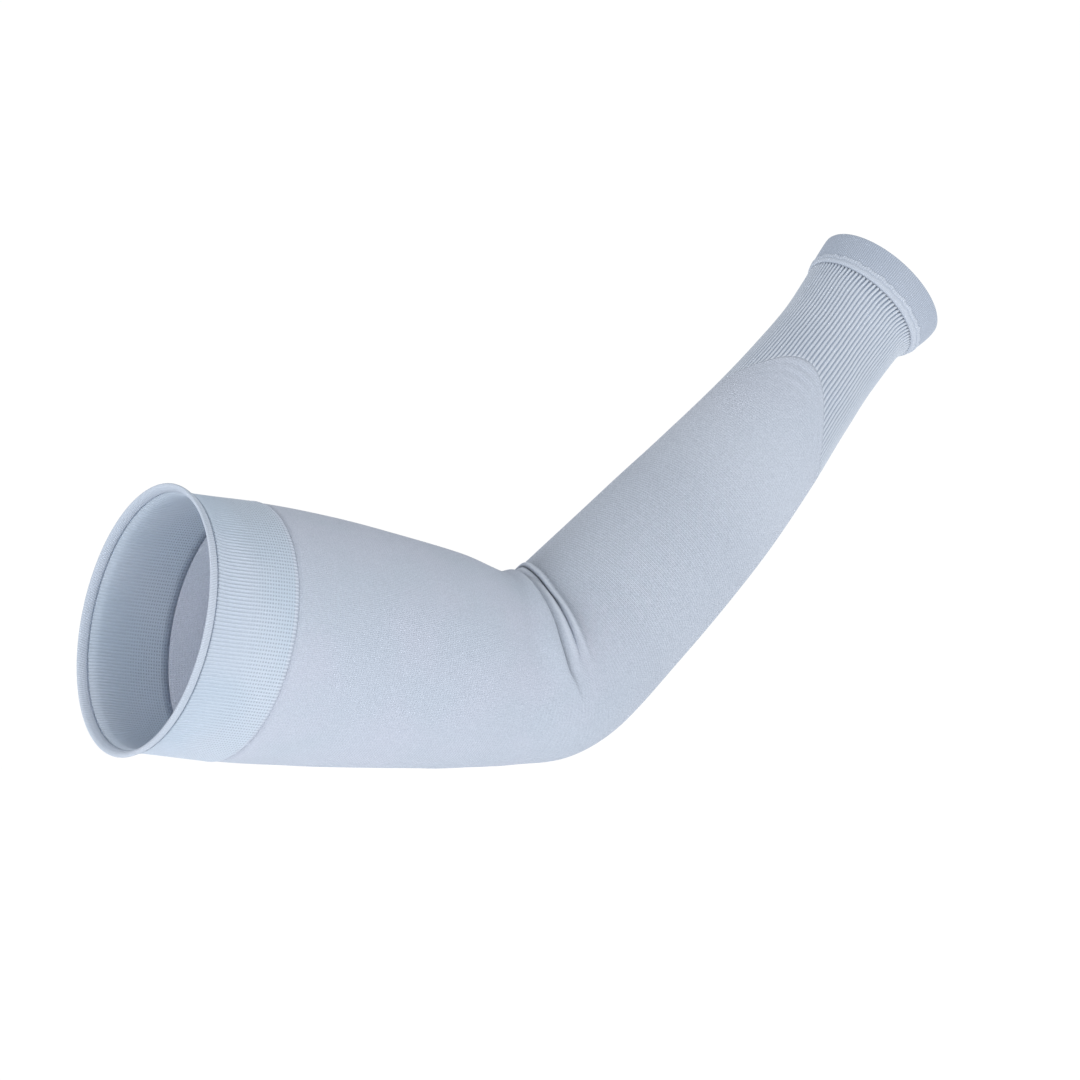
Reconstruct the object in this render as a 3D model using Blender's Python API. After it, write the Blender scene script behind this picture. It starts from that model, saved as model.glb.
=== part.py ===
"""A long knitted arm sleeve, bent at the elbow and kept in the form that it has when it is worn.

The arm's middle line lies in the XZ plane. The origin is the middle of the elbow, the upper arm runs off
to -X and the forearm up to +X and +Z. Lengths are in metres and angles in degrees. A place on the sleeve is
two numbers: along, the distance from the upper opening on the middle line, and around, the angle from the
crook's side, 90 on the -Y side.
"""

import math
from collections import namedtuple

import bmesh
import bpy

# Middle line of the arm
UPPER_ARM_LENGTH = 0.162
FOREARM_LENGTH = 0.2415
BEND_RADIUS = 0.0415
UPPER_ARM_SLOPE = -6.9
FOREARM_SLOPE = 38.5
WRIST_SLOPE = 49.5
OPENING_TILT = 2.5
TILTED_LENGTH = 0.12

# Widths across the bend's plane, over the cloth
BICEPS_WIDTH = 0.1015
ELBOW_WIDTH = 0.0776
CUFF_WIDTH = 0.0552
WRIST_WIDTH = 0.0652

# Cloth and edges
WALL = 0.0014
GAP = 0.0003
HEM_WIDTH = 0.0036
HEM_THICKNESS = 0.0022
RIM_FLARE = 0.0030
BAND_WIDTH = 0.0340
BAND_RISE = 0.0003
CUFF_SHORTEST = 0.081
ARCH_HEIGHT = 0.026
ARCH_MIDDLE = 60.0
ARCH_SPREAD = 82.0
RIB_COUNT = 90
RIB_DEPTH = 0.0007
SEAM_WIDTH = 0.0034
SEAM_HEIGHT = 0.0012
WRIST_HEM_WIDTH = 0.0134
WRIST_HEM_THICKNESS = 0.0018

# Folds in the crook
FOLD_WIDTH = 0.0050
FOLD_HEIGHT = 0.0030

BODY_POINTS = 36
HEM_POINTS = 45

# One row for each section of the arm. Along is a share of that length of the arm. Width is a share of the
# way from the narrow end's width to the wide end's, across is the section's depth in Y as a share of its
# width, and lean moves its middle toward the crook, as a share of its half width.
Section = namedtuple("Section", "along width across lean")

UPPER_ARM = (
    Section(0.00, 0.92, 1.05, -0.044),
    Section(0.25, 0.99, 1.04, -0.028),
    Section(0.45, 0.89, 1.00, -0.014),
    Section(0.65, 0.68, 0.96, -0.010),
    Section(0.82, 0.47, 0.94, -0.015),
    Section(1.00, 0.05, 0.93, -0.007),
)
FOREARM = (
    Section(0.00, 1.00, 0.92, -0.070),
    Section(0.15, 0.92, 0.90, -0.055),
    Section(0.30, 0.80, 0.88, -0.052),
    Section(0.43, 0.63, 0.86, -0.060),
    Section(0.57, 0.38, 0.83, -0.056),
    Section(0.71, 0.12, 0.80, -0.032),
    Section(0.82, 0.00, 0.78, -0.020),
)
WRIST = (
    Section(0.82, 0.00, 0.78, -0.020),
    Section(0.90, 0.12, 0.80, -0.006),
    Section(0.95, 0.66, 0.82, -0.065),
    Section(1.00, 1.00, 0.79, -0.090),
)

# One row for each fold. Place and drift are where its top lies on the inside of the crook and how far it
# moves at the arm's side, as shares of the fold width. Width and spread say the same of its half width.
# Reach is the angle at which it has sunk into the cloth. The first row is the low swell that the others
# stand on.
Fold = namedtuple("Fold", "place drift width spread height reach")

FOLDS = (
    Fold(0.20, 0.00, 1.60, 0.00, 0.30, 60.0),
    Fold(-0.95, -0.95, 0.60, 0.20, 0.30, 100.0),
    Fold(0.25, -0.90, 0.25, 0.35, 0.40, 95.0),
    Fold(1.10, -0.90, 0.55, 0.00, 1.20, 92.0),
)

# Rows of the body's mesh. Step is the share of the fold width between rows on each side of the bend.
CROOK_ROWS = 10
CROOK_STEP = 0.28
BEND_ROWS = 6


def eased(rows, at, column):
    """Value of a column at a place along a table, on a curve with no overshoot between its rows."""
    if at <= rows[0].along:
        return getattr(rows[0], column)
    if at >= rows[-1].along:
        return getattr(rows[-1], column)
    low = max(k for k, row in enumerate(rows) if row.along <= at)
    slopes = []
    for k in (low, low + 1):
        before = rows[max(k - 1, 0)]
        here = rows[k]
        after = rows[min(k + 1, len(rows) - 1)]
        rise = getattr(here, column) - getattr(before, column)
        climb = getattr(after, column) - getattr(here, column)
        if rise * climb <= 0:
            slopes.append(0.0)
            continue
        left = rise / (here.along - before.along)
        right = climb / (after.along - here.along)
        slopes.append(2 * left * right / (left + right))
    first, second = rows[low], rows[low + 1]
    run = second.along - first.along
    t = (at - first.along) / run
    a, b = getattr(first, column), getattr(second, column)
    return (
        a * (1 + 2 * t) * (1 - t) ** 2
        + b * (3 - 2 * t) * t**2
        + run * (slopes[0] * t * (1 - t) ** 2 - slopes[1] * (1 - t) * t**2)
    )


def share_between(narrow, wide, share):
    return narrow + (wide - narrow) * share


BEND_ANGLE = math.radians(FOREARM_SLOPE - UPPER_ARM_SLOPE)
BEND_LENGTH = BEND_RADIUS * BEND_ANGLE
BEND_END = UPPER_ARM_LENGTH + BEND_LENGTH
BEND_MIDDLE = UPPER_ARM_LENGTH + BEND_LENGTH / 2
SLEEVE_LENGTH = BEND_END + FOREARM_LENGTH
CROOK_SLOPE = math.radians(UPPER_ARM_SLOPE + FOREARM_SLOPE) / 2
FOREARM_RADIUS = FOREARM_LENGTH / math.radians(WRIST_SLOPE - FOREARM_SLOPE)

BAND_START = HEM_WIDTH + GAP
BODY_START = BAND_START + BAND_WIDTH + GAP
WRIST_HEM_START = SLEEVE_LENGTH - WRIST_HEM_WIDTH
SEAM_END = WRIST_HEM_START - GAP
SEAM_START = SEAM_END - SEAM_WIDTH
CUFF_END = SEAM_START - GAP
CUFF_START = CUFF_END - CUFF_SHORTEST


def middle(along):
    """X, Z and slope in radians of the arm's middle line, which turns at the crook between two long stretches."""
    turned = min(max(along - UPPER_ARM_LENGTH, 0.0), BEND_LENGTH) / BEND_RADIUS
    slope = math.radians(UPPER_ARM_SLOPE) + turned
    x = BEND_RADIUS * (math.sin(slope) - math.sin(CROOK_SLOPE))
    z = BEND_RADIUS * (math.cos(CROOK_SLOPE) - math.cos(slope))
    before = min(along - UPPER_ARM_LENGTH, 0.0)
    x += before * math.cos(slope)
    z += before * math.sin(slope)
    after = max(along - BEND_END, 0.0)
    end = slope + after / FOREARM_RADIUS
    x += FOREARM_RADIUS * (math.sin(end) - math.sin(slope))
    z += FOREARM_RADIUS * (math.cos(slope) - math.cos(end))
    return x, z, end


def section(along):
    """Half width, half depth and lean of the arm's section at a place, in metres."""
    if along < UPPER_ARM_LENGTH:
        rows, at, ends = UPPER_ARM, along / UPPER_ARM_LENGTH, (ELBOW_WIDTH, BICEPS_WIDTH)
    elif along < BEND_END:
        t = (along - UPPER_ARM_LENGTH) / BEND_LENGTH
        t = t * t * (3 - 2 * t)
        start = section(UPPER_ARM_LENGTH - 1e-9)
        end = section(BEND_END)
        return tuple(share_between(a, b, t) for a, b in zip(start, end))
    else:
        at = (along - BEND_END) / FOREARM_LENGTH
        if at < WRIST[0].along:
            rows, ends = FOREARM, (CUFF_WIDTH, ELBOW_WIDTH)
        else:
            rows, ends = WRIST, (CUFF_WIDTH, WRIST_WIDTH)
    half = share_between(*ends, eased(rows, at, "width")) / 2
    return half, half * eased(rows, at, "across"), half * eased(rows, at, "lean")


def crook_distance(along, around):
    """Distance on the cloth from the middle of the bend. On the crook's side the sections lie close together."""
    half_bend = BEND_LENGTH / 2
    offset = along - BEND_MIDDLE
    inside = min(max(offset, -half_bend), half_bend)
    tightness = 1 - ELBOW_WIDTH / 2 / BEND_RADIUS * math.cos(math.radians(around))
    return inside * tightness + offset - inside


def fold_rise(along, around):
    """Height of the crook's folds over the plain form of the arm."""
    side = abs((around + 180) % 360 - 180)
    distance = crook_distance(along, side)
    rise = 0.0
    for fold in FOLDS:
        top = FOLD_WIDTH * (fold.place + fold.drift * side / 90)
        width = FOLD_WIDTH * (fold.width + fold.spread * side / 90)
        away = (distance - top) / width
        if abs(away) >= 1 or side >= fold.reach:
            continue
        fade = math.cos(math.pi / 2 * side / fold.reach) ** 0.7
        rise += FOLD_HEIGHT * fold.height * fade * (1 + math.cos(math.pi * away)) / 2
    return rise


def rim_rise(along):
    """How far the cloth turns outward at the upper opening."""
    reach = 3 * HEM_WIDTH
    return RIM_FLARE * max(0.0, 1 - along / reach) ** 2


def on_sleeve(along, around, rise=0.0):
    """Point at a height over the arm's outer form. A negative rise goes into the cloth."""
    x, z, slope = middle(along)
    half, deep, lean = section(along)
    rise += fold_rise(along, around) + rim_rise(along)
    angle = math.radians(around)
    tilt = math.radians(OPENING_TILT) * max(0.0, 1 - along / TILTED_LENGTH)
    up = (half + rise) * math.cos(angle)
    return (
        x - lean * math.sin(slope) - up * math.sin(slope - tilt),
        -(deep + rise) * math.sin(angle),
        z + lean * math.cos(slope) + up * math.cos(slope - tilt),
    )


def arch(around):
    """Share of the arch's height at an angle: the plain knit runs up one side of the ribs as a round tongue."""
    away = abs((around - ARCH_MIDDLE + 180) % 360 - 180) / ARCH_SPREAD
    return (1 + math.cos(math.pi * min(away, 1.0))) / 2


def cuff_edge(around):
    """Where the ribs start. The line is straight between the body's points, so the two edges run side by side."""
    step = 360 / BODY_POINTS
    low = math.floor(around / step)
    share = around / step - low
    height = share_between(arch(low * step), arch((low + 1) * step), share)
    return CUFF_START + ARCH_HEIGHT * height


def ring(count, place):
    """Closed row of points, place(around) giving each one's place along the sleeve and its rise."""
    points = []
    for k in range(count):
        around = 360 * k / count
        along, rise = place(around)
        points.append(on_sleeve(along, around, rise))
    return points


def closed_shell(name, rings, material):
    """One body from rings that run along its outside, back along its inside and close on the first."""
    mesh = bmesh.new()
    rows = [[mesh.verts.new(point) for point in points] for points in rings]
    for row, following in zip(rows, rows[1:] + rows[:1]):
        for k, vertex in enumerate(row):
            beside = (k + 1) % len(row)
            mesh.faces.new((vertex, following[k], following[beside], row[beside]))
    bmesh.ops.recalc_face_normals(mesh, faces=mesh.faces)
    data = bpy.data.meshes.new(name)
    mesh.to_mesh(data)
    mesh.free()
    data.materials.append(material)
    piece = bpy.data.objects.new(name, data)
    bpy.context.scene.collection.objects.link(piece)
    return piece


def knit(name, colour, roughness):
    """Plain cloth material of one piece."""
    material = bpy.data.materials.new(name)
    material.use_nodes = True
    cloth = material.node_tree.nodes["Principled BSDF"]
    cloth.inputs["Base Color"].default_value = (*colour, 1.0)
    cloth.inputs["Roughness"].default_value = roughness
    cloth.inputs["Metallic"].default_value = 0.0
    return material


def tube_rings(count, outer, inner):
    """Rings of a tube from two lists of places along it, each with its rise."""
    return [
        ring(count, lambda around, stop=stop: stop)
        for stop in list(outer) + list(reversed(inner))
    ]


def upper_hem():
    """Rolled welt at the upper opening, a little thicker than the band beside it."""
    edge = HEM_WIDTH * 0.3
    high = (HEM_THICKNESS - WALL) * 0.6
    low = high - HEM_THICKNESS
    soft = edge * 0.6
    far = HEM_WIDTH - edge
    outer = [(0.0, high - soft), (edge, high), (far, high), (HEM_WIDTH, high - soft)]
    inner = [(0.0, low + soft), (edge, low), (far, low), (HEM_WIDTH, low + soft)]
    rings = tube_rings(HEM_POINTS, outer, inner)
    return closed_shell("upper_hem", rings, knit("welt", (0.62, 0.68, 0.75), 0.85))


def upper_band():
    """Stretch band between the hem and the body, where the finer knit stands just proud."""
    end = BAND_START + BAND_WIDTH
    steps = [BAND_START + BAND_WIDTH * share for share in (0.0, 0.12, 0.5)] + [end]
    outer = [(along, BAND_RISE) for along in steps]
    inner = [(along, -WALL) for along in steps]
    rings = tube_rings(BODY_POINTS, outer, inner)
    return closed_shell("upper_band", rings, knit("band", (0.50, 0.57, 0.65), 0.85))


def body_rows():
    """Places of the body's rows: wide steps on the plain arm, narrow ones where the crook folds."""
    step = FOLD_WIDTH * CROOK_STEP
    crook_start = UPPER_ARM_LENGTH - CROOK_ROWS * step
    crook_end = BEND_END + CROOK_ROWS * step
    upper = [share_between(BODY_START, crook_start, k / 6) for k in range(6)]
    crook = [crook_start + k * step for k in range(CROOK_ROWS)]
    bend = [UPPER_ARM_LENGTH + BEND_LENGTH * k / BEND_ROWS for k in range(BEND_ROWS)]
    wrist_side = [BEND_END + k * step for k in range(CROOK_ROWS)]
    last = CUFF_START - 2 * step
    forearm = [share_between(crook_end, last, k / 7) for k in range(8)]
    return upper + crook + bend + wrist_side + forearm


def sleeve_body():
    """Plain tube from the band to the ribs. Its far edge follows the ribs' arch. Each fold of the crook is
    a lump of doubled cloth on the outside, and the inside stays smooth under it.
    """
    rows = body_rows()
    thinned = rows[:6] + rows[6:-8:2] + rows[-8:]
    outer = [ring(BODY_POINTS, lambda around, at=at: (at, 0.0)) for at in rows]
    inner = [
        ring(BODY_POINTS, lambda around, at=at: (at, -WALL - fold_rise(at, around)))
        for at in thinned
    ]
    lip = rows[-1]

    def far_edge(share, rise):
        def place(around):
            return share_between(lip, cuff_edge(around) - GAP, share), rise

        return ring(BODY_POINTS, place)

    outer += [far_edge(0.5, 0.0), far_edge(1.0, 0.0)]
    inner += [far_edge(0.5, -WALL), far_edge(1.0, -WALL)]
    rings = outer + list(reversed(inner))
    return closed_shell("sleeve_body", rings, knit("jersey", (0.46, 0.52, 0.62), 0.8))


def ribbed_cuff():
    """Cuff with a groove at every other point of its outer rings, and a smooth inside."""
    count = 2 * RIB_COUNT

    def cuff_ring(share, rise, groove):
        def place(around):
            raised = round(around * count / 360) % 2 == 0
            start = cuff_edge(around)
            return share_between(start, CUFF_END, share), rise - (0.0 if raised else groove)

        return ring(count, place)

    outer = [cuff_ring(share, 0.0, RIB_DEPTH) for share in (0.0, 0.2, 0.42, 0.64, 0.82, 1.0)]
    inner = [cuff_ring(share, -WALL, 0.0) for share in (1.0, 0.64, 0.3, 0.0)]
    return closed_shell("ribbed_cuff", outer + inner, knit("ribs", (0.44, 0.50, 0.60), 0.85))


def wrist_seam():
    """Raised round seam that gathers the ribs into the wrist hem."""
    quarter = SEAM_WIDTH * 0.3
    outer = [
        (SEAM_START, 0.0),
        (SEAM_START + quarter, SEAM_HEIGHT),
        (SEAM_END - quarter, SEAM_HEIGHT),
        (SEAM_END, 0.0),
    ]
    inner = [(SEAM_START, -WALL), (SEAM_END, -WALL)]
    rings = tube_rings(HEM_POINTS, outer, inner)
    return closed_shell("wrist_seam", rings, knit("seam", (0.60, 0.66, 0.74), 0.85))


def wrist_hem():
    """Doubled hem at the wrist, wider than the cuff, with a rounded free edge."""
    soft = WRIST_HEM_THICKNESS * 0.4
    high = WRIST_HEM_THICKNESS - WALL
    start, end = WRIST_HEM_START, SLEEVE_LENGTH
    half_way = share_between(start, end, 0.5)
    outer = [(start, high), (half_way, high), (end - soft, high), (end, high - soft)]
    inner = [(start, -WALL), (half_way, -WALL), (end - soft, -WALL), (end, -WALL + soft)]
    rings = tube_rings(HEM_POINTS, outer, inner)
    return closed_shell("wrist_hem", rings, knit("hem", (0.47, 0.53, 0.62), 0.85))


def main():
    for obj in list(bpy.data.objects):
        bpy.data.objects.remove(obj)
    upper_hem()
    upper_band()
    sleeve_body()
    ribbed_cuff()
    wrist_seam()
    wrist_hem()


main()
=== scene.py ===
"""Looks of a long knitted arm sleeve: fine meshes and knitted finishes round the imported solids.

A place on the sleeve is two numbers, as in the part's own source. Along is the distance in metres from the
upper opening on the arm's middle line. Around is the angle in degrees from the crook's side, and it is 90 on
the -Y side.
"""

import math
from collections import namedtuple

import bpy
import numpy as np
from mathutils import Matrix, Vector


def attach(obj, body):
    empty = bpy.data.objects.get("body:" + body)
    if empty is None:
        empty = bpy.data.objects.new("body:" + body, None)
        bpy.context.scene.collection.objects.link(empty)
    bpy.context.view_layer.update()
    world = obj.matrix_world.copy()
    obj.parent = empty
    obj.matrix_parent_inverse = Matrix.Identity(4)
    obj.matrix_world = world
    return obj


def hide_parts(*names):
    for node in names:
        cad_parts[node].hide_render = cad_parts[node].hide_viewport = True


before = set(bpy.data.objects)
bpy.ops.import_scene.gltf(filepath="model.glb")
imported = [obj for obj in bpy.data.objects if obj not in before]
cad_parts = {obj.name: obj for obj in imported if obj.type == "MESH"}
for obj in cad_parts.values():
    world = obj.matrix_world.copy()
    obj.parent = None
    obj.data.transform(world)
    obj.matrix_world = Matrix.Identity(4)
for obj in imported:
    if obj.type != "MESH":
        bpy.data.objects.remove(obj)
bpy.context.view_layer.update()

# Camera, fitted to the outline in the photograph
CAMERA_AZIMUTH = -33.72
CAMERA_ELEVATION = -3.19
CAMERA_DISTANCE = 1.17235
LOOK_AT = (0.0038, -0.0007, 0.0517)
FOCAL_PIXELS = 2826.0
PICTURE_PIXELS = 1080
SENSOR_WIDTH = 36.0
NEAR_CLIP = 0.05

# Middle line of the arm, as in the part's source
UPPER_ARM_LENGTH = 0.162
FOREARM_LENGTH = 0.2415
BEND_RADIUS = 0.0415
UPPER_ARM_SLOPE = -6.9
FOREARM_SLOPE = 38.5
WRIST_SLOPE = 49.5
OPENING_TILT = 2.5
TILTED_LENGTH = 0.12

# Widths of the arm in the sleeve
BICEPS_WIDTH = 0.1015
ELBOW_WIDTH = 0.0776
CUFF_WIDTH = 0.0552
WRIST_WIDTH = 0.0652

# Sizes of the pieces
WALL = 0.0014
GAP = 0.0003
HEM_WIDTH = 0.0036
HEM_THICKNESS = 0.0022
RIM_FLARE = 0.0030
BAND_WIDTH = 0.0340
BAND_RISE = 0.0003
CUFF_SHORTEST = 0.081
RIB_DEPTH = 0.0007
SEAM_WIDTH = 0.0034
SEAM_RISE = 0.0007
WRIST_HEM_WIDTH = 0.0134
WRIST_HEM_THICKNESS = 0.0018

# Gap that shows between two pieces in the looks, where the solids have the wider one
SEEN_GAP = 0.00004

# Arch of the tongue, which stands a little higher than in the part's source
ARCH_HEIGHT = 0.0290
ARCH_MIDDLE = 61.5
ARCH_SPREAD = 82.0

# Counts of stitches and ribs round the arm
WELT_STITCHES = 330
BAND_RIBS = 216
JERSEY_WALES = 200
RIB_COUNT = 90
SEAM_STITCHES = 140
SEAM_THREADS = 260
HEM_RIBS = 200

# Counts of stitches in each metre along the arm
WELT_TURNS = 500
EYELET_ROWS = 880
JERSEY_COURSES = 820
FINE_COURSES = 1300
SEAM_TURNS = 300

# Border of long stitches at the band's far edge, and wrinkles that follow the tongue's edge
BORDER_WIDTH = 0.0013
BORDER_STEP = 0.0003
WRINKLE_SPACING = 0.0052
WRINKLE_HEIGHT = 0.00030

# Depths by which the underside lies inside the plain form, with the places of the two dips from the bend's
# start, their widths, and the angles from the crook between which they set in
ELBOW_TRIM = 0.0019
ELBOW_TRIM_PLACE = 0.0074
ELBOW_TRIM_WIDTH = 0.0075
UPPER_ARM_TRIM = 0.0005
UPPER_ARM_TRIM_PLACE = -0.0340
UPPER_ARM_TRIM_WIDTH = 0.0150
TRIM_ANGLES = (105.0, 165.0)

# Sections of the arm at shares of its lengths. Width is the share of the way from the narrow width to the
# wide one, across is the depth over the width, and lean is the shift toward the crook over the half width.
Section = namedtuple("Section", "along width across lean")

UPPER_ARM = (
    Section(0.00, 0.92, 1.05, -0.044),
    Section(0.25, 0.99, 1.04, -0.028),
    Section(0.45, 0.89, 1.00, -0.014),
    Section(0.65, 0.68, 0.96, -0.010),
    Section(0.82, 0.47, 0.94, -0.015),
    Section(1.00, 0.10, 0.93, -0.034),
)
FOREARM = (
    Section(0.00, 1.00, 0.92, -0.070),
    Section(0.15, 0.92, 0.90, -0.055),
    Section(0.30, 0.80, 0.88, -0.052),
    Section(0.43, 0.63, 0.86, -0.060),
    Section(0.57, 0.38, 0.83, -0.056),
    Section(0.71, 0.12, 0.80, -0.032),
    Section(0.82, 0.00, 0.78, -0.020),
)
WRIST = (
    Section(0.82, 0.00, 0.78, -0.020),
    Section(0.90, 0.12, 0.80, -0.006),
    Section(0.95, 0.66, 0.82, -0.065),
    Section(1.00, 1.00, 0.79, -0.090),
)

# One row for each angle from the crook. Three rolls lie side by side: the first runs from start to valley,
# the second to the crease and the third to the foot, as distances on the cloth from the middle of the bend.
# Upper, inner and lower are their heights over the plain arm.
Crook = namedtuple("Crook", "side start valley crease foot upper inner lower")

CROOK = (
    Crook(0.0, -0.0060, -0.0010, 0.0066, 0.0104, 0.0021, 0.0027, 0.0035),
    Crook(20.0, -0.0090, -0.0035, 0.0042, 0.0080, 0.0025, 0.0026, 0.0037),
    Crook(40.0, -0.0140, -0.0055, 0.0016, 0.0052, 0.0030, 0.0023, 0.0036),
    Crook(60.0, -0.0180, -0.0068, 0.0008, 0.0050, 0.0031, 0.0019, 0.0029),
    Crook(75.0, -0.0210, -0.0077, 0.0004, 0.0052, 0.0027, 0.0012, 0.0013),
    Crook(88.0, -0.0210, -0.0070, 0.0003, 0.0056, 0.0017, 0.0003, 0.0002),
    Crook(98.0, -0.0190, -0.0044, 0.0008, 0.0062, 0.0007, 0.0000, 0.0000),
    Crook(112.0, -0.0170, -0.0018, 0.0012, 0.0068, 0.0000, 0.0000, 0.0000),
)

# Heights from which a roll counts as full
FULL_UPPER = 0.0026
FULL_INNER = 0.0019
FULL_LOWER = 0.0030

# Shape of the rolls: where the first two climb, how steeply each drops, and how far two of them hang over
UPPER_ROLL_CLIMB = (0, 0.85)
INNER_ROLL_CLIMB = (-0.75, 0.45)
UPPER_ROLL_DROP = 14
INNER_ROLL_DROP = 6
LOWER_ROLL_DROP = 2.4
UPPER_ROLL_LEAN = 0.32
UPPER_LEAN_DROP = 4
LOWER_ROLL_LEAN = 0.36

# Creases between the rolls
CREASE_DEPTH = 0.0012
CREASE_WIDTH = 0.00045
VALLEY_DIP_SHARE = 0.5
VALLEY_DIP_PLACE = 0.0006
VALLEY_DIP_WIDTH = 0.0009

# Slack of the cloth: the share that is left of the rolls on the side away from the camera, and the angles
# between which they grow to their full height
TIGHT_SHARE = 0.2
SLACK_ANGLES = (-16.0, 8.0)

# Shares of painted shade in the crook, and their widths. The crease is pinched, and opens between two angles.
PINCHED_SHADE = 0.72
CREASE_SHADE = 0.28
CREASE_OPENS = (40, 57)
CREASE_SHADE_WIDTH = 0.00075
CREASE_WIDENING = 0.0009
VALLEY_SHADE = 0.66
VALLEY_SHADE_EDGE = (-0.0006, 0.0001)
VALLEY_SHADE_WIDTH = 0.0018
FOOT_SHADE = 0.24
FOOT_SHADE_EDGE = -0.0006
FOOT_SHADE_WIDTH = 0.0060

# Painted shade on the forearm's upper edge past the crook, which faces away from the light: between these
# angles and over these distances
EDGE_SHADE = 0.10
EDGE_ANGLES = (4, 38)
EDGE_SHADE_GROWS = (0, 0.004)
EDGE_SHADE_FADES = (0.02, 0.06)

# Painted highlights on the crests of the second and third roll, which face the light, at shares of each
# roll's width
CREST_HIGHLIGHT = 0.50
INNER_CREST = 0.68
INNER_CREST_WIDTH = 0.19
LOWER_CREST = 0.66
LOWER_CREST_WIDTH = 0.22

BEND_ANGLE = math.radians(FOREARM_SLOPE - UPPER_ARM_SLOPE)
BEND_LENGTH = BEND_RADIUS * BEND_ANGLE
BEND_END = UPPER_ARM_LENGTH + BEND_LENGTH
BEND_MIDDLE = UPPER_ARM_LENGTH + BEND_LENGTH / 2
SLEEVE_LENGTH = BEND_END + FOREARM_LENGTH
CROOK_SLOPE = math.radians(UPPER_ARM_SLOPE + FOREARM_SLOPE) / 2
FOREARM_RADIUS = FOREARM_LENGTH / math.radians(WRIST_SLOPE - FOREARM_SLOPE)

BAND_START = HEM_WIDTH + GAP
BAND_END = BAND_START + BAND_WIDTH
BODY_START = BAND_END + GAP
WRIST_HEM_START = SLEEVE_LENGTH - WRIST_HEM_WIDTH
SEAM_END = WRIST_HEM_START - GAP
SEAM_START = SEAM_END - SEAM_WIDTH
CUFF_END = SEAM_START - GAP
CUFF_START = CUFF_END - CUFF_SHORTEST


def eased(rows, at, column):
    """Values of a column at places along a table, on a curve with no overshoot between its rows."""
    places = np.array([row[0] for row in rows])
    values = np.array([getattr(row, column) for row in rows])
    steps = np.diff(places)
    climbs = np.diff(values) / steps
    slopes = np.zeros(len(rows))
    both = climbs[:-1] * climbs[1:]
    total = np.where(both > 0, climbs[:-1] + climbs[1:], 1.0)
    slopes[1:-1] = np.where(both > 0, 2 * both / total, 0.0)
    low = np.clip(np.searchsorted(places, at, "right") - 1, 0, len(rows) - 2)
    t = np.clip((at - places[low]) / steps[low], 0, 1)
    return (
        values[low] * (1 + 2 * t) * (1 - t) ** 2
        + values[low + 1] * (3 - 2 * t) * t**2
        + steps[low] * (slopes[low] * t * (1 - t) ** 2 - slopes[low + 1] * (1 - t) * t**2)
    )


def smooth(low, high, value):
    """Share from 0 to 1 of the way that a value has gone from low to high, with soft ends."""
    t = np.clip((value - low) / (high - low), 0, 1)
    return t * t * (3 - 2 * t)


def bell(value, middle, width):
    """1 at the middle, and near 0 from twice the width away."""
    return np.exp(-(((value - middle) / width) ** 2))


def middle_line(along):
    """X, Z and slope in radians of the arm's middle line."""
    turned = np.clip(along - UPPER_ARM_LENGTH, 0, BEND_LENGTH) / BEND_RADIUS
    slope = math.radians(UPPER_ARM_SLOPE) + turned
    before = np.minimum(along - UPPER_ARM_LENGTH, 0)
    x = BEND_RADIUS * (np.sin(slope) - math.sin(CROOK_SLOPE)) + before * np.cos(slope)
    z = BEND_RADIUS * (math.cos(CROOK_SLOPE) - np.cos(slope)) + before * np.sin(slope)
    end = slope + np.maximum(along - BEND_END, 0) / FOREARM_RADIUS
    x = x + FOREARM_RADIUS * (np.sin(end) - np.sin(slope))
    z = z + FOREARM_RADIUS * (np.cos(slope) - np.cos(end))
    return x, z, end


def section_of(rows, at, narrow, wide):
    """Half width, half depth and lean from one table, in metres."""
    half = (narrow + (wide - narrow) * eased(rows, at, "width")) / 2
    return half, half * eased(rows, at, "across"), half * eased(rows, at, "lean")


def section(along):
    """Half width, half depth and lean of the arm's section, in metres."""
    upper = section_of(UPPER_ARM, along / UPPER_ARM_LENGTH, ELBOW_WIDTH, BICEPS_WIDTH)
    at = (along - BEND_END) / FOREARM_LENGTH
    forearm = section_of(FOREARM, at, CUFF_WIDTH, ELBOW_WIDTH)
    wrist = section_of(WRIST, at, CUFF_WIDTH, WRIST_WIDTH)
    t = smooth(UPPER_ARM_LENGTH, BEND_END, along)
    lower = [np.where(at < WRIST[0].along, a, b) for a, b in zip(forearm, wrist)]
    return [a + (b - a) * t for a, b in zip(upper, lower)]


def wrapped(around):
    """The same angle, from -180 to 180."""
    return (around + 180) % 360 - 180


def off_crook(around):
    """Angle from the crook's side, from 0 to 180."""
    return np.abs(wrapped(around))


def crook_distance(along, side):
    """Distance on the cloth from the middle of the bend."""
    offset = along - BEND_MIDDLE
    inside = np.clip(offset, -BEND_LENGTH / 2, BEND_LENGTH / 2)
    tightness = 1 - ELBOW_WIDTH / 2 / BEND_RADIUS * np.cos(np.radians(side))
    return inside * tightness + offset - inside


def crook_columns(side):
    """The crook table's columns at angles from the crook."""
    return [eased(CROOK, side, column) for column in Crook._fields[1:]]


def slack(around):
    """Share of the rolls' height. On the side away from the camera the cloth is drawn tight."""
    return TIGHT_SHARE + (1 - TIGHT_SHARE) * smooth(*SLACK_ANGLES, wrapped(around))


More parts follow.
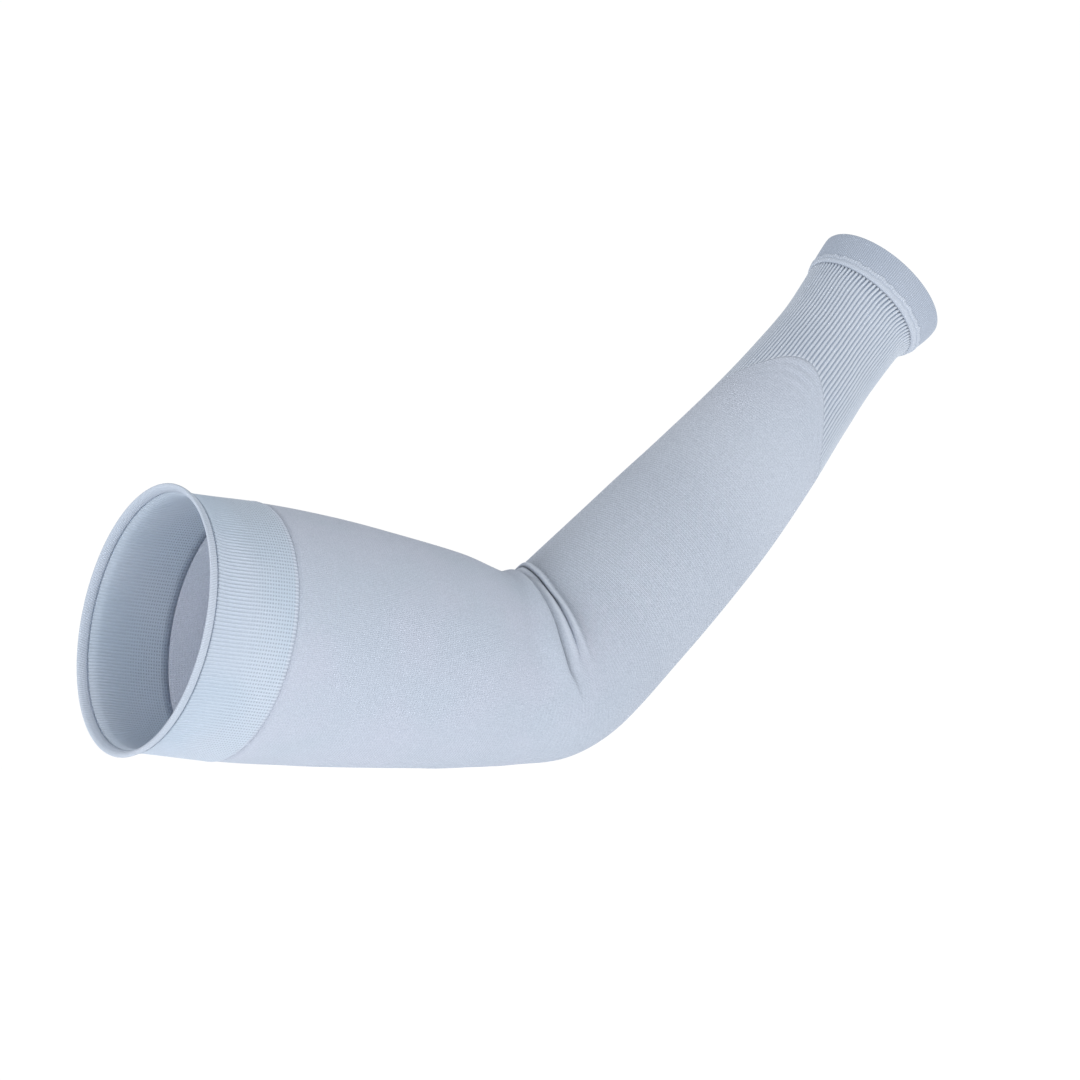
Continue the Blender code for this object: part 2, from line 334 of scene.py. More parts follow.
def folded(along, around):
    """How high the crook's rolls stand over the plain form, and how far they hang over along the arm."""
    side = off_crook(around)
    distance = crook_distance(along, side)
    start, valley, crease, foot, upper, inner, lower = crook_columns(side)
    near = np.clip((distance - start) / (valley - start), 0, 1)
    first = upper * smooth(*UPPER_ROLL_CLIMB, near) * np.sqrt(1 - near**UPPER_ROLL_DROP)
    within = np.clip(2 * (distance - valley) / (crease - valley) - 1, -1, 1)
    second = inner * smooth(*INNER_ROLL_CLIMB, within) * np.sqrt(1 - np.maximum(within, 0) ** INNER_ROLL_DROP)
    over = np.clip(2 * (distance - crease) / (foot - crease) - 1, -1, 1)
    third = lower * np.sqrt(1 - np.abs(over) ** LOWER_ROLL_DROP)
    pinch = bell(distance, crease, CREASE_WIDTH) * np.minimum(lower / FULL_LOWER, 1) ** 2
    dip = VALLEY_DIP_SHARE * bell(distance - valley, VALLEY_DIP_PLACE, VALLEY_DIP_WIDTH)
    dip *= np.minimum(upper / FULL_UPPER, 1)
    rise = slack(around) * (first + second + third - CREASE_DEPTH * (pinch + dip))
    return rise, slack(around) * (UPPER_ROLL_LEAN * first * near**UPPER_LEAN_DROP - LOWER_ROLL_LEAN * third)


def crook_shade(along, around):
    """How much painted shade the cloth gets in the crook: most in the pinched crease, less in the valley and
    beside the foot. Under zero it says how much painted highlight it gets on the crests of two rolls, which
    face the light.
    """
    side = off_crook(around)
    distance = crook_distance(along, side)
    _, valley, crease, foot, upper, inner, lower = crook_columns(side)
    rolled = np.minimum(lower / FULL_LOWER, 1)

    # Painted shade in the crease
    pinched = 1 - smooth(*CREASE_OPENS, side)
    width = CREASE_SHADE_WIDTH + CREASE_WIDENING * (1 - pinched)
    in_crease = np.exp(-(((distance - crease) / width) ** 4))
    shade = (CREASE_SHADE * rolled + PINCHED_SHADE * pinched) * in_crease

    # Painted shade in the valley under the first roll's edge
    past_valley = distance - valley
    overhung = np.minimum(upper / FULL_UPPER, 1) * smooth(*VALLEY_SHADE_EDGE, past_valley)
    shade += VALLEY_SHADE * overhung * bell(np.maximum(past_valley, 0), 0, VALLEY_SHADE_WIDTH)

    # Painted shade on the forearm beside the foot and along its upper edge
    past_foot = distance - foot
    fading = np.exp(-np.maximum(past_foot, 0) / FOOT_SHADE_WIDTH)
    shade += FOOT_SHADE * rolled * np.where(past_foot > FOOT_SHADE_EDGE, fading, 0.0)
    upper_edge = (1 - smooth(*EDGE_ANGLES, side)) * smooth(*EDGE_SHADE_GROWS, past_foot)
    shade += EDGE_SHADE * upper_edge * (1 - smooth(*EDGE_SHADE_FADES, distance))

    # Painted highlights on the crests of the second and third roll
    inner_place = past_valley / (crease - valley)
    lower_place = (distance - crease) / (foot - crease)
    crests = np.minimum(inner / FULL_INNER, 1) * bell(inner_place, INNER_CREST, INNER_CREST_WIDTH)
    crests += rolled * bell(lower_place, LOWER_CREST, LOWER_CREST_WIDTH)
    return np.clip(slack(around) * (shade - CREST_HIGHLIGHT * crests), -1, 1)


def rim_rise(along):
    """How far the cloth turns outward at the upper opening."""
    return RIM_FLARE * np.maximum(0, 1 - along / (3 * HEM_WIDTH)) ** 2


def drawn_in(along, around):
    """How far the cloth lies inside the plain form on the arm's underside, above and at the elbow."""
    past_start = along - UPPER_ARM_LENGTH
    at_elbow = ELBOW_TRIM * bell(past_start, ELBOW_TRIM_PLACE, ELBOW_TRIM_WIDTH)
    above = UPPER_ARM_TRIM * bell(past_start, UPPER_ARM_TRIM_PLACE, UPPER_ARM_TRIM_WIDTH)
    return smooth(*TRIM_ANGLES, off_crook(around)) * (at_elbow + above)


def on_sleeve(along, around, rise=0.0, folds=True):
    """Points at a height over the arm's outer form, for arrays of places."""
    along, around, rise = np.broadcast_arrays(along, around, rise)
    rise = rise + rim_rise(along) - drawn_in(along, around)
    slip = 0.0
    if folds:
        bulge, slip = folded(along, around)
        rise = rise + bulge
    x, z, slope = middle_line(along)
    half, deep, lean = section(along)
    angle = np.radians(around)
    tilt = math.radians(OPENING_TILT) * np.maximum(0, 1 - along / TILTED_LENGTH)
    up = (half + rise) * np.cos(angle)
    return np.stack(
        (
            x - lean * np.sin(slope) - up * np.sin(slope - tilt) + slip * np.cos(slope),
            -(deep + rise) * np.sin(angle),
            z + lean * np.cos(slope) + up * np.cos(slope - tilt) + slip * np.sin(slope),
        ),
        axis=-1,
    )


def arch(around):
    """Share of the arch's height: the plain knit runs up the outer side of the ribs as a round tongue."""
    away = np.abs(wrapped(around - ARCH_MIDDLE)) / ARCH_SPREAD
    return (1 + np.cos(np.pi * np.minimum(away, 1))) / 2


def cuff_edge(around):
    """Place along the arm where the plain knit ends and the ribs begin."""
    return CUFF_START + ARCH_HEIGHT * arch(around)


def ripple(around, *waves):
    """Smooth uneven line round the arm, from rows of turns, height and phase in degrees."""
    angle = np.radians(around)
    return sum(height * np.sin(angle * turns + math.radians(phase)) for turns, height, phase in waves)


# Meshes

HIDDEN_SIDE = -90.0


def columns(count):
    """Angles of a ring's points, from the side that faces away from the camera."""
    return HIDDEN_SIDE + 360 * np.arange(count) / count


def ridges(around, count):
    """Wave from -1 to 1 with that many crests round the arm, in step with the knit map."""
    return np.cos(np.radians(around - HIDDEN_SIDE) * count)


def corners(values):
    """Values at the four corners of each face, for a grid that closes on itself both ways."""
    beside = np.roll(values, -1, axis=1)
    return np.stack((values, beside, np.roll(beside, -1, axis=0), np.roll(values, -1, axis=0)), axis=-1)


def closed_shell(name, points, runs, material, node):
    """Closed body from rings that run along its outside and back along its inside, in place of a CAD node.
    Its knit map gives the share of a turn round the arm, and the metres run along the cloth.
    """
    rows, count, _ = points.shape
    faces = corners(np.arange(rows * count).reshape(rows, count))
    mesh = bpy.data.meshes.new(name)
    mesh.from_pydata(points.reshape(-1, 3).tolist(), [], faces.reshape(-1, 4).tolist())
    turn = np.arange(count) / count
    turns = np.stack((turn, turn + 1 / count, turn + 1 / count, turn), axis=-1)
    runs = np.asarray(runs)
    if runs.ndim == 1:
        runs = runs[:, None]
    lengths = corners(np.broadcast_to(runs, (rows, count)))
    knit_map = np.stack((np.broadcast_to(turns, (rows, count, 4)), lengths), axis=-1)
    mesh.uv_layers.new(name="knit").data.foreach_set("uv", knit_map.ravel())
    mesh.materials.append(material)
    mesh.shade_smooth()
    piece = bpy.data.objects.new(name, mesh)
    bpy.context.scene.collection.objects.link(piece)
    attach(piece, "root")
    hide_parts(node)
    return piece


def shaded(piece, shade):
    """Keep the painted shade of each point of the first rings, for the material to read. Under zero it is
    painted highlight.
    """
    values = np.zeros(len(piece.data.vertices))
    values[: shade.size] = shade.ravel()
    piece.data.attributes.new("shade", "FLOAT", "POINT").data.foreach_set("value", values)
    return piece


# Materials

SPECULAR = 0.25
SHEEN_ROUGHNESS = 0.6
SHEEN_TINT = (0.80, 0.88, 1.0, 1.0)

# Scales of the noise that makes the cloth's colour drift, and of the grain of its yarn
DRIFT_SCALE = 24.0
GRAIN_SCALE = 1700.0

# Shares of the dark colour that the yarn's grain adds
JERSEY_GRAIN = 0.26
YARN_GRAIN = 0.10
HEM_GRAIN = 0.06


class Knit:
    """Material of one knit, with short calls that add nodes which read the knit map and the place."""

    def __init__(self, name, roughness, sheen):
        self.material = bpy.data.materials.new(name)
        self.material.use_nodes = True
        self.tree = self.material.node_tree
        self.cloth = self.tree.nodes["Principled BSDF"]
        self.cloth.inputs["Roughness"].default_value = roughness
        self.cloth.inputs["Specular IOR Level"].default_value = SPECULAR
        self.cloth.inputs["Sheen Weight"].default_value = sheen
        self.cloth.inputs["Sheen Roughness"].default_value = SHEEN_ROUGHNESS
        self.cloth.inputs["Sheen Tint"].default_value = SHEEN_TINT
        knit_map = self.tree.nodes.new("ShaderNodeUVMap")
        knit_map.uv_map = "knit"
        parts = self.tree.nodes.new("ShaderNodeSeparateXYZ")
        self.tree.links.new(knit_map.outputs[0], parts.inputs[0])
        self.turn = parts.outputs[0]
        self.run = parts.outputs[1]
        self.place = self.tree.nodes.new("ShaderNodeTexCoord").outputs["Object"]

    def wire(self, socket, value):
        """Set a socket to a constant, or link a node's output to it."""
        if isinstance(value, (int, float, tuple)):
            socket.default_value = value
        else:
            self.tree.links.new(value, socket)

    def math(self, operation, *values):
        """Result of a math node, from constants or other nodes' outputs."""
        node = self.tree.nodes.new("ShaderNodeMath")
        node.operation = operation
        for socket, value in zip(node.inputs, values):
            self.wire(socket, value)
        return node.outputs[0]

    def times(self, first, second):
        """Product of two values."""
        return self.math("MULTIPLY", first, second)

    def times_add(self, first, second, added):
        """Product of two values, plus a third."""
        return self.math("MULTIPLY_ADD", first, second, added)

    def rest(self, share):
        """What is left of 1."""
        return self.math("SUBTRACT", 1.0, share)

    def span(self, value, low, high, to_low=0.0, to_high=1.0):
        """Soft step of a value from one range to another."""
        node = self.tree.nodes.new("ShaderNodeMapRange")
        node.interpolation_type = "SMOOTHSTEP"
        for socket, number in zip(node.inputs, (value, low, high, to_low, to_high)):
            self.wire(socket, number)
        return node.outputs[0]

    def wave(self, value, count):
        """Wave from 0 to 1 with that many crests for each unit of the value."""
        angle = self.times_add(value, 2 * math.pi * count, 0.0)
        return self.times_add(self.math("COSINE", angle), 0.5, 0.5)

    def slanted(self, round_arm, along_arm):
        """Wave of threads that lie aslant, from their counts round the arm and in each metre along it."""
        return self.wave(self.times_add(self.turn, round_arm, self.times(self.run, along_arm)), 1.0)

    def noise(self, scale, detail):
        """Uneven value from 0 to 1 over the place on the piece."""
        node = self.tree.nodes.new("ShaderNodeTexNoise")
        node.inputs["Scale"].default_value = scale
        node.inputs["Detail"].default_value = detail
        self.tree.links.new(self.place, node.inputs["Vector"])
        return node.outputs[0]

    def blend(self, share, first, second):
        """Colour between two others. The node's sockets 6 and 7 and its output 2 are the ones for colours."""
        node = self.tree.nodes.new("ShaderNodeMix")
        node.data_type = "RGBA"
        self.wire(node.inputs[0], share)
        for socket, colour in zip((node.inputs[6], node.inputs[7]), (first, second)):
            self.wire(socket, (*colour, 1.0) if isinstance(colour, tuple) else colour)
        return node.outputs[2]

    def shade(self):
        """The painted shade kept on the mesh, and under zero the painted highlight."""
        node = self.tree.nodes.new("ShaderNodeAttribute")
        node.attribute_name = "shade"
        return node.outputs["Fac"]

    def stitches(self, wales, courses):
        """Height of plain knit: two slanting legs for each wale, in rows of stitches."""
        slant = 1.1
        loop_share = 0.6
        wale = self.times(self.turn, wales)
        off = self.math("ABSOLUTE", self.math("SUBTRACT", self.math("FRACT", wale), 0.5))
        leg = self.math("SINE", self.times(off, 2 * math.pi))
        loop = self.wave(self.times_add(self.run, courses, self.times(off, slant)), 1.0)
        return self.times(leg, self.times_add(loop, loop_share, 1 - loop_share))

    def mottled(self, low, high):
        """Cloth colour that drifts between two near colours, and the fine grain of the yarn."""
        drift = self.span(self.noise(DRIFT_SCALE, 2.0), 0.35, 0.65)
        grain = self.span(self.noise(GRAIN_SCALE, 1.0), 0.32, 0.68)
        return self.blend(drift, low, high), grain

    def finish(self, colour, height, distance, strength):
        """Give the cloth its colour, and its stitches as a height pattern."""
        self.wire(self.cloth.inputs["Base Color"], colour)
        bump = self.tree.nodes.new("ShaderNodeBump")
        bump.inputs["Distance"].default_value = distance
        bump.inputs["Strength"].default_value = strength
        self.tree.links.new(height, bump.inputs["Height"])
        self.tree.links.new(bump.outputs[0], self.cloth.inputs["Normal"])
        return self.material


# Colours of the cloth, as linear red, green and blue, and the colours that paint shade and light on it
# Near-black of the painted shade in the crook
CROOK_SHADE_COLOUR = (0.030, 0.034, 0.050)
# Dark end of the yarn's grain, and of the painted shade between stitches, ribs, twists and loops and in the
# eyelets
GRAIN_AND_SHADE = (0.300, 0.355, 0.445)
COOL = (0.555, 0.622, 0.728)
LILAC = (0.586, 0.632, 0.747)
# Painted highlight on the crests in the crook, and painted light on the forearm
PALE = (0.765, 0.828, 0.940)
BAND_COOL = (0.522, 0.618, 0.734)
BAND_PALE = (0.568, 0.647, 0.758)
CUFF = (0.588, 0.648, 0.735)
CUFF_PALE = (0.630, 0.686, 0.768)
THREAD = (0.610, 0.680, 0.790)
SEAM = (0.560, 0.622, 0.716)
SEAM_PALE = (0.600, 0.656, 0.748)
HEM = (0.492, 0.554, 0.655)
HEM_PALE = (0.526, 0.583, 0.680)


def jersey():
    """Plain knit, with painted shade between its stitches that shows where the forearm stretches it. There it
    is painted paler too: painted light, as the tilted forearm gets less of the key light, which also makes up
    for the stitch shade.
    """
    knit = Knit("jersey", roughness=0.8, sheen=0.35)
    base, grain = knit.mottled(COOL, LILAC)
    stitch = knit.stitches(JERSEY_WALES, JERSEY_COURSES)
    faint_stitch_shade = 0.14
    clear_stitch_shade = 0.76
    stitch_shade_left_at_cuff = 0.35
    pale_left_at_cuff = 0.45
    # Painted shade between the stitches, faint at the elbow, clearest on the stretched forearm and less at
    # the cuff
    stretched = knit.span(knit.run, BEND_MIDDLE - 0.005, BEND_END + 0.02, faint_stitch_shade, clear_stitch_shade)
    relaxed = knit.span(knit.run, BEND_END + 0.07, CUFF_START, 1.0, stitch_shade_left_at_cuff)
    stitch_shade = knit.times(knit.times(stretched, relaxed), knit.rest(stitch))
    dark = knit.times_add(grain, JERSEY_GRAIN, stitch_shade)
    # Painted light: the forearm is painted paler where it gets less of the key light
    past_elbow = knit.span(knit.run, BEND_MIDDLE, BEND_END + 0.03)
    before_cuff = knit.span(knit.run, BEND_END + 0.09, CUFF_START + 0.01, 1.0, pale_left_at_cuff)
    paler_forearm = knit.times(past_elbow, before_cuff)
    cloth = knit.blend(dark, knit.blend(paler_forearm, base, PALE), GRAIN_AND_SHADE)
    # Painted shade in the crook toward the near-black colour, and painted highlights on the rolls' crests
    # toward the pale one, both kept on the mesh
    shade = knit.shade()
    on_crests = knit.blend(knit.times(shade, -1.0), cloth, PALE)
    return knit.finish(knit.blend(shade, on_crests, CROOK_SHADE_COLOUR), stitch, distance=0.00025, strength=0.8)


def band_knit():
    """Ribs beside the welt that turn to eyelets, with painted shade between the ribs and in the eyelets,
    darkest before the row of long stitches at the border, and between those long stitches.
    """
    knit = Knit("band", roughness=0.8, sheen=0.35)
    base, grain = knit.mottled(BAND_COOL, BAND_PALE)
    border_start = BAND_END - BORDER_WIDTH
    meshed = knit.span(knit.run, BAND_START + 0.008, BAND_END - 0.010)
    border = knit.span(knit.run, border_start - BORDER_STEP, border_start + BORDER_STEP)
    rib = knit.wave(knit.turn, BAND_RIBS)
    hole = knit.times(knit.rest(rib), knit.wave(knit.run, EYELET_ROWS))
    eyelet = knit.rest(knit.span(hole, 0.30, 0.80))
    height = knit.math("ADD", knit.times(rib, knit.rest(meshed)), knit.times(eyelet, meshed))
    # Painted shade between the ribs and in the eyelets, and between the border's long stitches
    holes = knit.times(knit.rest(height), knit.times_add(meshed, 0.50, 0.18))
    teeth = knit.times(knit.rest(rib), 0.40)
    dark = knit.math("ADD", knit.times(holes, knit.rest(border)), knit.times(teeth, border))
    dark = knit.times_add(grain, YARN_GRAIN, dark)
    colour = knit.blend(dark, knit.blend(border, base, THREAD), GRAIN_AND_SHADE)
    return knit.finish(colour, height, distance=0.0003, strength=0.8)


def welt_knit():
    """Twisted thread of the rolled welt, with painted shade between the twists."""
    knit = Knit("welt", roughness=0.85, sheen=0.4)
    base, grain = knit.mottled(BAND_PALE, THREAD)
    twist = knit.slanted(WELT_STITCHES, WELT_TURNS)
    # Painted shade between the twists of the thread
    dark = knit.times_add(knit.rest(twist), 0.30, knit.times(grain, YARN_GRAIN))
    return knit.finish(knit.blend(dark, base, GRAIN_AND_SHADE), twist, distance=0.0002, strength=0.7)


def rib_knit():
    """Ribs with painted shade in their grooves and between their loops, darkest where the seam gathers them.
    """
    knit = Knit("ribs", roughness=0.9, sheen=0.0)
    base, grain = knit.mottled(CUFF, CUFF_PALE)
    rib = knit.wave(knit.turn, RIB_COUNT)
    stitch = knit.stitches(RIB_COUNT * 2, FINE_COURSES)
    # Painted shade in the grooves, deeper where the seam gathers the ribs, and between the loops
    groove = knit.rest(knit.span(rib, 0.05, 0.55))
    loops = knit.times(knit.rest(stitch), 0.12)
    depth = knit.span(knit.run, CUFF_END - 0.006, CUFF_END - 0.001, 0.72, 1.0)
    dark = knit.times_add(groove, depth, knit.times_add(grain, YARN_GRAIN, loops))
    return knit.finish(knit.blend(dark, base, GRAIN_AND_SHADE), stitch, distance=0.00008, strength=0.3)


def seam_knit():
    """Overlock thread, with painted shade kept on the mesh: between its loops, along the line where roll and
    threads meet and at the edge over the hem.
    """
    knit = Knit("seam", roughness=0.85, sheen=0.4)
    base, grain = knit.mottled(SEAM, SEAM_PALE)
    thread = knit.slanted(SEAM_THREADS, SEAM_TURNS)
    dark = knit.times_add(thread, 0.10, knit.times_add(grain, YARN_GRAIN, knit.shade()))
    return knit.finish(knit.blend(dark, base, GRAIN_AND_SHADE), thread, distance=0.00012, strength=0.6)


def hem_knit():
    """Fine flat ribs of the doubled hem, with painted shade between the ribs and between their loops."""
    knit = Knit("hem", roughness=0.9, sheen=0.0)
    base, grain = knit.mottled(HEM, HEM_PALE)
    rib = knit.wave(knit.turn, HEM_RIBS)
    stitch = knit.stitches(HEM_RIBS * 2, FINE_COURSES)
    loops = knit.times(knit.rest(stitch), 0.08)
    # Painted shade between the fine ribs and between the loops
    dark = knit.times_add(knit.rest(rib), 0.62, knit.times_add(grain, HEM_GRAIN, loops))
    return knit.finish(knit.blend(dark, base, GRAIN_AND_SHADE), stitch, distance=0.00006, strength=0.3)


# Pieces


def flattened(value, power):
    """A sine or cosine drawn toward its ends by a power under 1, so that a round section becomes squarer."""
    return math.copysign(abs(value) ** power, value)


def upper_hem():
    """Rolled welt: a flattened round section with the thread's twist raised on it."""
    around = columns(960)
    section_points = 16
    fill = 0.995
    roundness_along = 0.7
    roundness_across = 0.8
    share_outside = 0.6
    twist_height = 0.00006
    twist_lag = 2.5
    depth = (HEM_THICKNESS - WALL) * share_outside - HEM_THICKNESS / 2
    rings, runs = [], []
    for k in range(section_points):
        angle = 2 * math.pi * k / section_points
        along = HEM_WIDTH / 2 - HEM_WIDTH / 2 * flattened(math.cos(angle), roundness_along) * fill
        twist = twist_height * np.sin(np.radians(around) * WELT_STITCHES + twist_lag * angle)
        rise = depth + HEM_THICKNESS / 2 * flattened(math.sin(angle), roundness_across) + twist
        rings.append(on_sleeve(along, around, rise))
        runs.append(along)
    return closed_shell("rolled_welt", np.stack(rings), runs, welt_knit(), "upper_hem")


def upper_band():
    """Stretch band: ribs that start at the welt and sink into the mesh, and long stitches at the far edge."""
    rib_height = 0.00012
    border_height = 0.00013
    ribs_sink = (BAND_START + 0.006, BAND_START + 0.020)
    last_zone = 0.002
    edge_slope = 0.0007
    around = columns(6 * BAND_RIBS)
    end = BODY_START - SEEN_GAP
    border_start = end - BORDER_WIDTH
    plain_runs = np.linspace(BAND_START, end - last_zone, 36, endpoint=False)
    outer = np.concatenate((plain_runs, np.linspace(end - last_zone, end, 9)))
    inner = np.linspace(BAND_END, BAND_START, 10)
    rings = []
    for along in outer:
        ribbed = 1 - smooth(*ribs_sink, along)
        border = smooth(border_start - BORDER_STEP, border_start, along)
        level = BAND_RISE * (1 - smooth(end - edge_slope, end, along))
        relief = (rib_height * ribbed + border_height * border) * ridges(around, BAND_RIBS)
        rings.append(on_sleeve(along, around, level + relief))
    rings += [on_sleeve(along, around, -WALL) for along in inner]
    return closed_shell("stretch_band", np.stack(rings), [*outer, *inner], band_knit(), "upper_band")


def body_places():
    """Places of the body's rows: wide steps on the plain arm, narrow ones where the crook folds."""
    fold_zone = 0.016
    crook_start = UPPER_ARM_LENGTH - fold_zone
    crook_end = BEND_END + fold_zone
    last_row = CUFF_START - 0.003
    return np.concatenate(
        (
            np.linspace(BODY_START, crook_start, 32, endpoint=False),
            np.linspace(crook_start, UPPER_ARM_LENGTH, 52, endpoint=False),
            np.linspace(UPPER_ARM_LENGTH, BEND_END, 84, endpoint=False),
            np.linspace(BEND_END, crook_end, 54, endpoint=False),
            np.linspace(crook_end, last_row, 42),
        )
    )


def wrinkles(along, around):
    """Soft uneven wrinkles that run side by side along the tongue's edge and fade away from it."""
    starts = (0.0005, 0.003)
    ends = (0.009, 0.022)
    clear_of_crook = (12, 40)
    away = cuff_edge(around) - along
    near = smooth(*starts, away) * (1 - smooth(*ends, away)) * smooth(*clear_of_crook, off_crook(around))
    shift = ripple(around, (5, 0.9, 30), (9, 0.7, 80))
    uneven = arch(around) * (0.75 + ripple(around, (7, 0.4, 10)))
    return WRINKLE_HEIGHT * near * uneven * np.sin(2 * np.pi * away / WRINKLE_SPACING + shift)


def sleeve_body():
    """Plain tube from the band to the ribs, folded in the crook, with a smooth inside."""
    around = columns(300)
    tube_runs = body_places()[:, None]
    inner_runs = np.concatenate((tube_runs[::12], tube_runs[-1:]))
    lip = tube_runs[-1, 0]
    reach = cuff_edge(around) - SEEN_GAP - lip
    tongue_runs = lip + reach * np.linspace(0, 1, 26)[1:, None]
    inner_tongue_runs = lip + reach * np.linspace(0, 1, 5)[:0:-1, None]
    outer = [on_sleeve(runs, around, wrinkles(runs, around)) for runs in (tube_runs, tongue_runs)]
    inner = [on_sleeve(runs, around, -WALL, folds=False) for runs in (inner_tongue_runs, inner_runs[::-1])]
    rows = (tube_runs, tongue_runs, inner_tongue_runs, inner_runs[::-1])
    all_runs = np.concatenate([np.broadcast_to(runs, (len(runs), len(around))) for runs in rows])
    piece = closed_shell("plain_knit", np.concatenate(outer + inner), all_runs, jersey(), "sleeve_body")
    return shaded(piece, crook_shade(tube_runs, around))


def ribbed_cuff():
    """Ribs as raised ridges between narrow grooves, deeper where the seam gathers them."""
    points_per_rib = 8
    groove_narrowness = 2.2
    first_depth = 0.1
    gathered_depth = 0.6
    gathered_length = 0.009
    onset = 0.0030
    around = columns(points_per_rib * RIB_COUNT)
    start = cuff_edge(around)
    runs = start + (CUFF_END - start) * np.linspace(0, 1, 64)[:, None]
    inner_runs = start + (CUFF_END - start) * np.linspace(1, 0, 12)[:, None]
    ridge = 1 - ((1 - ridges(around, RIB_COUNT)) / 2) ** groove_narrowness
    gathered = smooth(CUFF_END - gathered_length, CUFF_END, runs)
    begun = smooth(0, onset, runs - start)
    deepening = (first_depth + (1 - first_depth) * begun) * (1 + gathered_depth * gathered)
    rise = -RIB_DEPTH * (1 - ridge) * deepening
    # Slow and quick sway of the ribs, in degrees
    sway = 0.20 * np.sin(runs * 190 + around * 0.05) + 0.07 * np.sin(runs * 520 + around * 0.11)
    outer = on_sleeve(runs, around + sway * (1 - gathered), rise)
    points = np.concatenate((outer, on_sleeve(inner_runs, around, -WALL)))
    all_runs = np.concatenate((runs, inner_runs))
    return closed_shell("rib_knit_cuff", points, all_runs, rib_knit(), "ribbed_cuff")


def wrist_seam():
    """Overlocked seam: a smooth roll on the cuff's side and scallops of thread that lie over the hem."""
    overlap = 0.0010
    roll_end = 0.56
    thread_start = 0.50
    thread_height = 0.00030
    loop_height = 0.00018
    line_shade = 0.50
    edge_shade = 0.90
    loop_shade = 0.26
    roll_shade = 0.18
    around = columns(1080)
    scallop = ripple(around, (29, 0.00032, 0), (43, 0.00020, 70), (12, 0.00018, 20))
    reach = SEAM_END - SEAM_START + overlap + scallop
    stitches = ridges(around, SEAM_STITCHES)
    hem_level = WRIST_HEM_THICKNESS - WALL
    rings, runs, shades = [], [], []
    for share in np.linspace(0, 1, 30):
        along = SEAM_START + reach * share
        roll = SEAM_RISE * math.sin(math.pi * min(share / roll_end, 1)) ** 0.5
        in_thread = min(max((share - thread_start) / (1 - thread_start), 0), 1)
        thread_share = max(0.0, math.sin(math.pi * in_thread))
        thread = (thread_height + loop_height * stitches) * thread_share**0.5
        level = hem_level * smooth(0.35, 0.6, share)
        rings.append(on_sleeve(along, around, np.maximum(roll, level) + thread))
        runs.append(along)
        # Painted shade: a line where the roll meets the threads, a dark edge where the scallops lie over the
        # hem, and shade between the loops. The roll half is also a little darker.
        line = line_shade * bell(share, 0.53, 0.05) + edge_shade * smooth(0.88, 1.0, share)
        loops = loop_shade * thread_share * (1 - stitches) / 2
        shades.append(line + loops + roll_shade * (1 - smooth(0.42, 0.52, share)))
    for share in (1.0, 0.5, 0.0):
        along = np.full(len(around), SEAM_START + SEAM_WIDTH * share)
        rings.append(on_sleeve(along, around, -WALL))
        runs.append(along)
    piece = closed_shell("overlock_seam", np.stack(rings), np.stack(runs), seam_knit(), "wrist_seam")
    return shaded(piece, np.stack(shades))


def wrist_hem():
    """Doubled hem with fine ribs and a rounded free edge."""
    round_off = 0.0004
    rib_height = 0.00010
    rim_steps = 8
    around = columns(1200)
    high = WRIST_HEM_THICKNESS - WALL
    ribs = rib_height * ridges(around, HEM_RIBS)
    rings, runs = [], []
    for along in np.linspace(WRIST_HEM_START, SLEEVE_LENGTH - round_off, 24):
        rings.append(on_sleeve(along, around, high + ribs))
        runs.append(along)
    for k in range(1, rim_steps):
        angle = math.pi * k / rim_steps
        along = SLEEVE_LENGTH - round_off * (1 - math.sin(angle))
        rise = high - WRIST_HEM_THICKNESS / 2 * (1 - math.cos(angle))
        rings.append(on_sleeve(along, around, rise + ribs * max(0.0, math.cos(angle))))
        runs.append(along)
    for along in np.linspace(SLEEVE_LENGTH - round_off, WRIST_HEM_START, 6):
        rings.append(on_sleeve(along, around, -WALL))
        runs.append(along)
    return closed_shell("fine_rib_hem", np.stack(rings), runs, hem_knit(), "wrist_hem")


# Stage

WHITE = (1.0, 1.0, 1.0, 1.0)
FLOOR_COLOUR = (0.9, 0.9, 0.9, 1.0)
FLOOR_ROUGHNESS = 0.9
FLOOR_GLOW = 0.44
FLOOR_HEIGHT = -0.20
FLOOR_REACH = 6.0

# Heights on the sky's unit ball between which the world dims, and its strengths there
DIM_START = 0.28
DIM_END = 0.95
LOW_STRENGTH = 1.02
TOP_STRENGTH = 0.40


def floor():
    """Plain pale floor, a little brighter than the light on it makes it, so that it reads as white."""
    far = FLOOR_REACH
    mesh = bpy.data.meshes.new("floor")
    mesh.from_pydata([(-far, -far, 0), (far, -far, 0), (far, far, 0), (-far, far, 0)], [], [(0, 1, 2, 3)])
    piece = bpy.data.objects.new("floor", mesh)
    piece.location.z = FLOOR_HEIGHT
    bpy.context.scene.collection.objects.link(piece)
    paint = bpy.data.materials.new("floor")
    paint.use_nodes = True
    surface = paint.node_tree.nodes["Principled BSDF"]
    surface.inputs["Base Color"].default_value = FLOOR_COLOUR
    surface.inputs["Roughness"].default_value = FLOOR_ROUGHNESS
    surface.inputs["Emission Color"].default_value = WHITE
    surface.inputs["Emission Strength"].default_value = FLOOR_GLOW
    mesh.materials.append(paint)


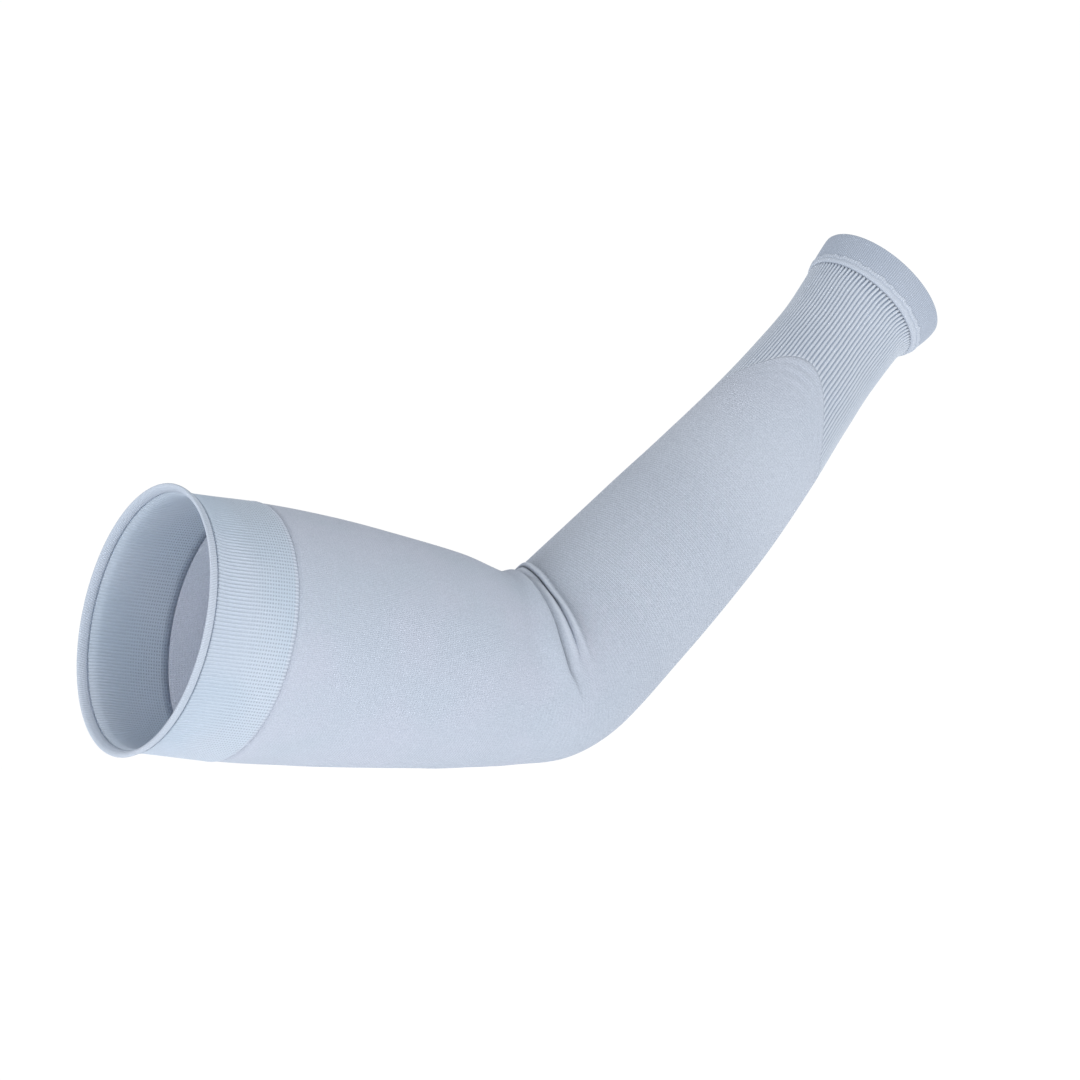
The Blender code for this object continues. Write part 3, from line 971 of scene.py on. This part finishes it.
def studio():
    """Soft white world that is dimmer overhead."""
    world = bpy.data.worlds.new("studio")
    bpy.context.scene.world = world
    world.use_nodes = True
    tree = world.node_tree
    background = tree.nodes["Background"]
    parts = tree.nodes.new("ShaderNodeSeparateXYZ")
    tree.links.new(tree.nodes.new("ShaderNodeTexCoord").outputs["Generated"], parts.inputs[0])
    fall = tree.nodes.new("ShaderNodeMapRange")
    for socket, value in zip(fall.inputs[1:], (DIM_START, DIM_END, LOW_STRENGTH, TOP_STRENGTH)):
        socket.default_value = value
    tree.links.new(parts.outputs[2], fall.inputs[0])
    tree.links.new(fall.outputs[0], background.inputs["Strength"])
    background.inputs["Color"].default_value = WHITE


def area_light(name, place, size, power, colour):
    """Soft square light that shines at the elbow."""
    data = bpy.data.lights.new(name, "AREA")
    data.size = size
    data.energy = power
    data.color = colour
    light = bpy.data.objects.new(name, data)
    light.location = place
    light.rotation_mode = "QUATERNION"
    light.rotation_quaternion = Vector(place).to_track_quat("Z", "Y")
    bpy.context.scene.collection.objects.link(light)


def camera():
    """Camera of the photograph."""
    azimuth = math.radians(CAMERA_AZIMUTH)
    elevation = math.radians(CAMERA_ELEVATION)
    level = math.cos(elevation)
    back = Vector((math.sin(azimuth) * level, -math.cos(azimuth) * level, math.sin(elevation)))
    data = bpy.data.cameras.new("camera")
    data.sensor_width = SENSOR_WIDTH
    data.lens = SENSOR_WIDTH * FOCAL_PIXELS / PICTURE_PIXELS
    data.clip_start = NEAR_CLIP
    seen = bpy.data.objects.new("camera", data)
    seen.location = Vector(LOOK_AT) + back * CAMERA_DISTANCE
    seen.rotation_mode = "QUATERNION"
    seen.rotation_quaternion = back.to_track_quat("Z", "Y")
    bpy.context.scene.collection.objects.link(seen)
    bpy.context.scene.camera = seen


def main():
    """Build the stage and the six pieces, and name the sheets of cloth."""
    bpy.context.scene.view_settings.view_transform = "Standard"
    camera()
    floor()
    studio()
    # Both lights stand low, with their middles under the floor's height
    area_light("low_key", place=(-1.15, -0.62, -0.30), size=0.5, power=9.0, colour=(1.0, 0.98, 1.0))
    area_light("low_fill", place=(0.08, -1.15, -0.25), size=0.6, power=3.0, colour=(0.98, 0.99, 1.0))
    welt = upper_hem()
    band = upper_band()
    body = sleeve_body()
    cuff = ribbed_cuff()
    seam = wrist_seam()
    hem = wrist_hem()


main()
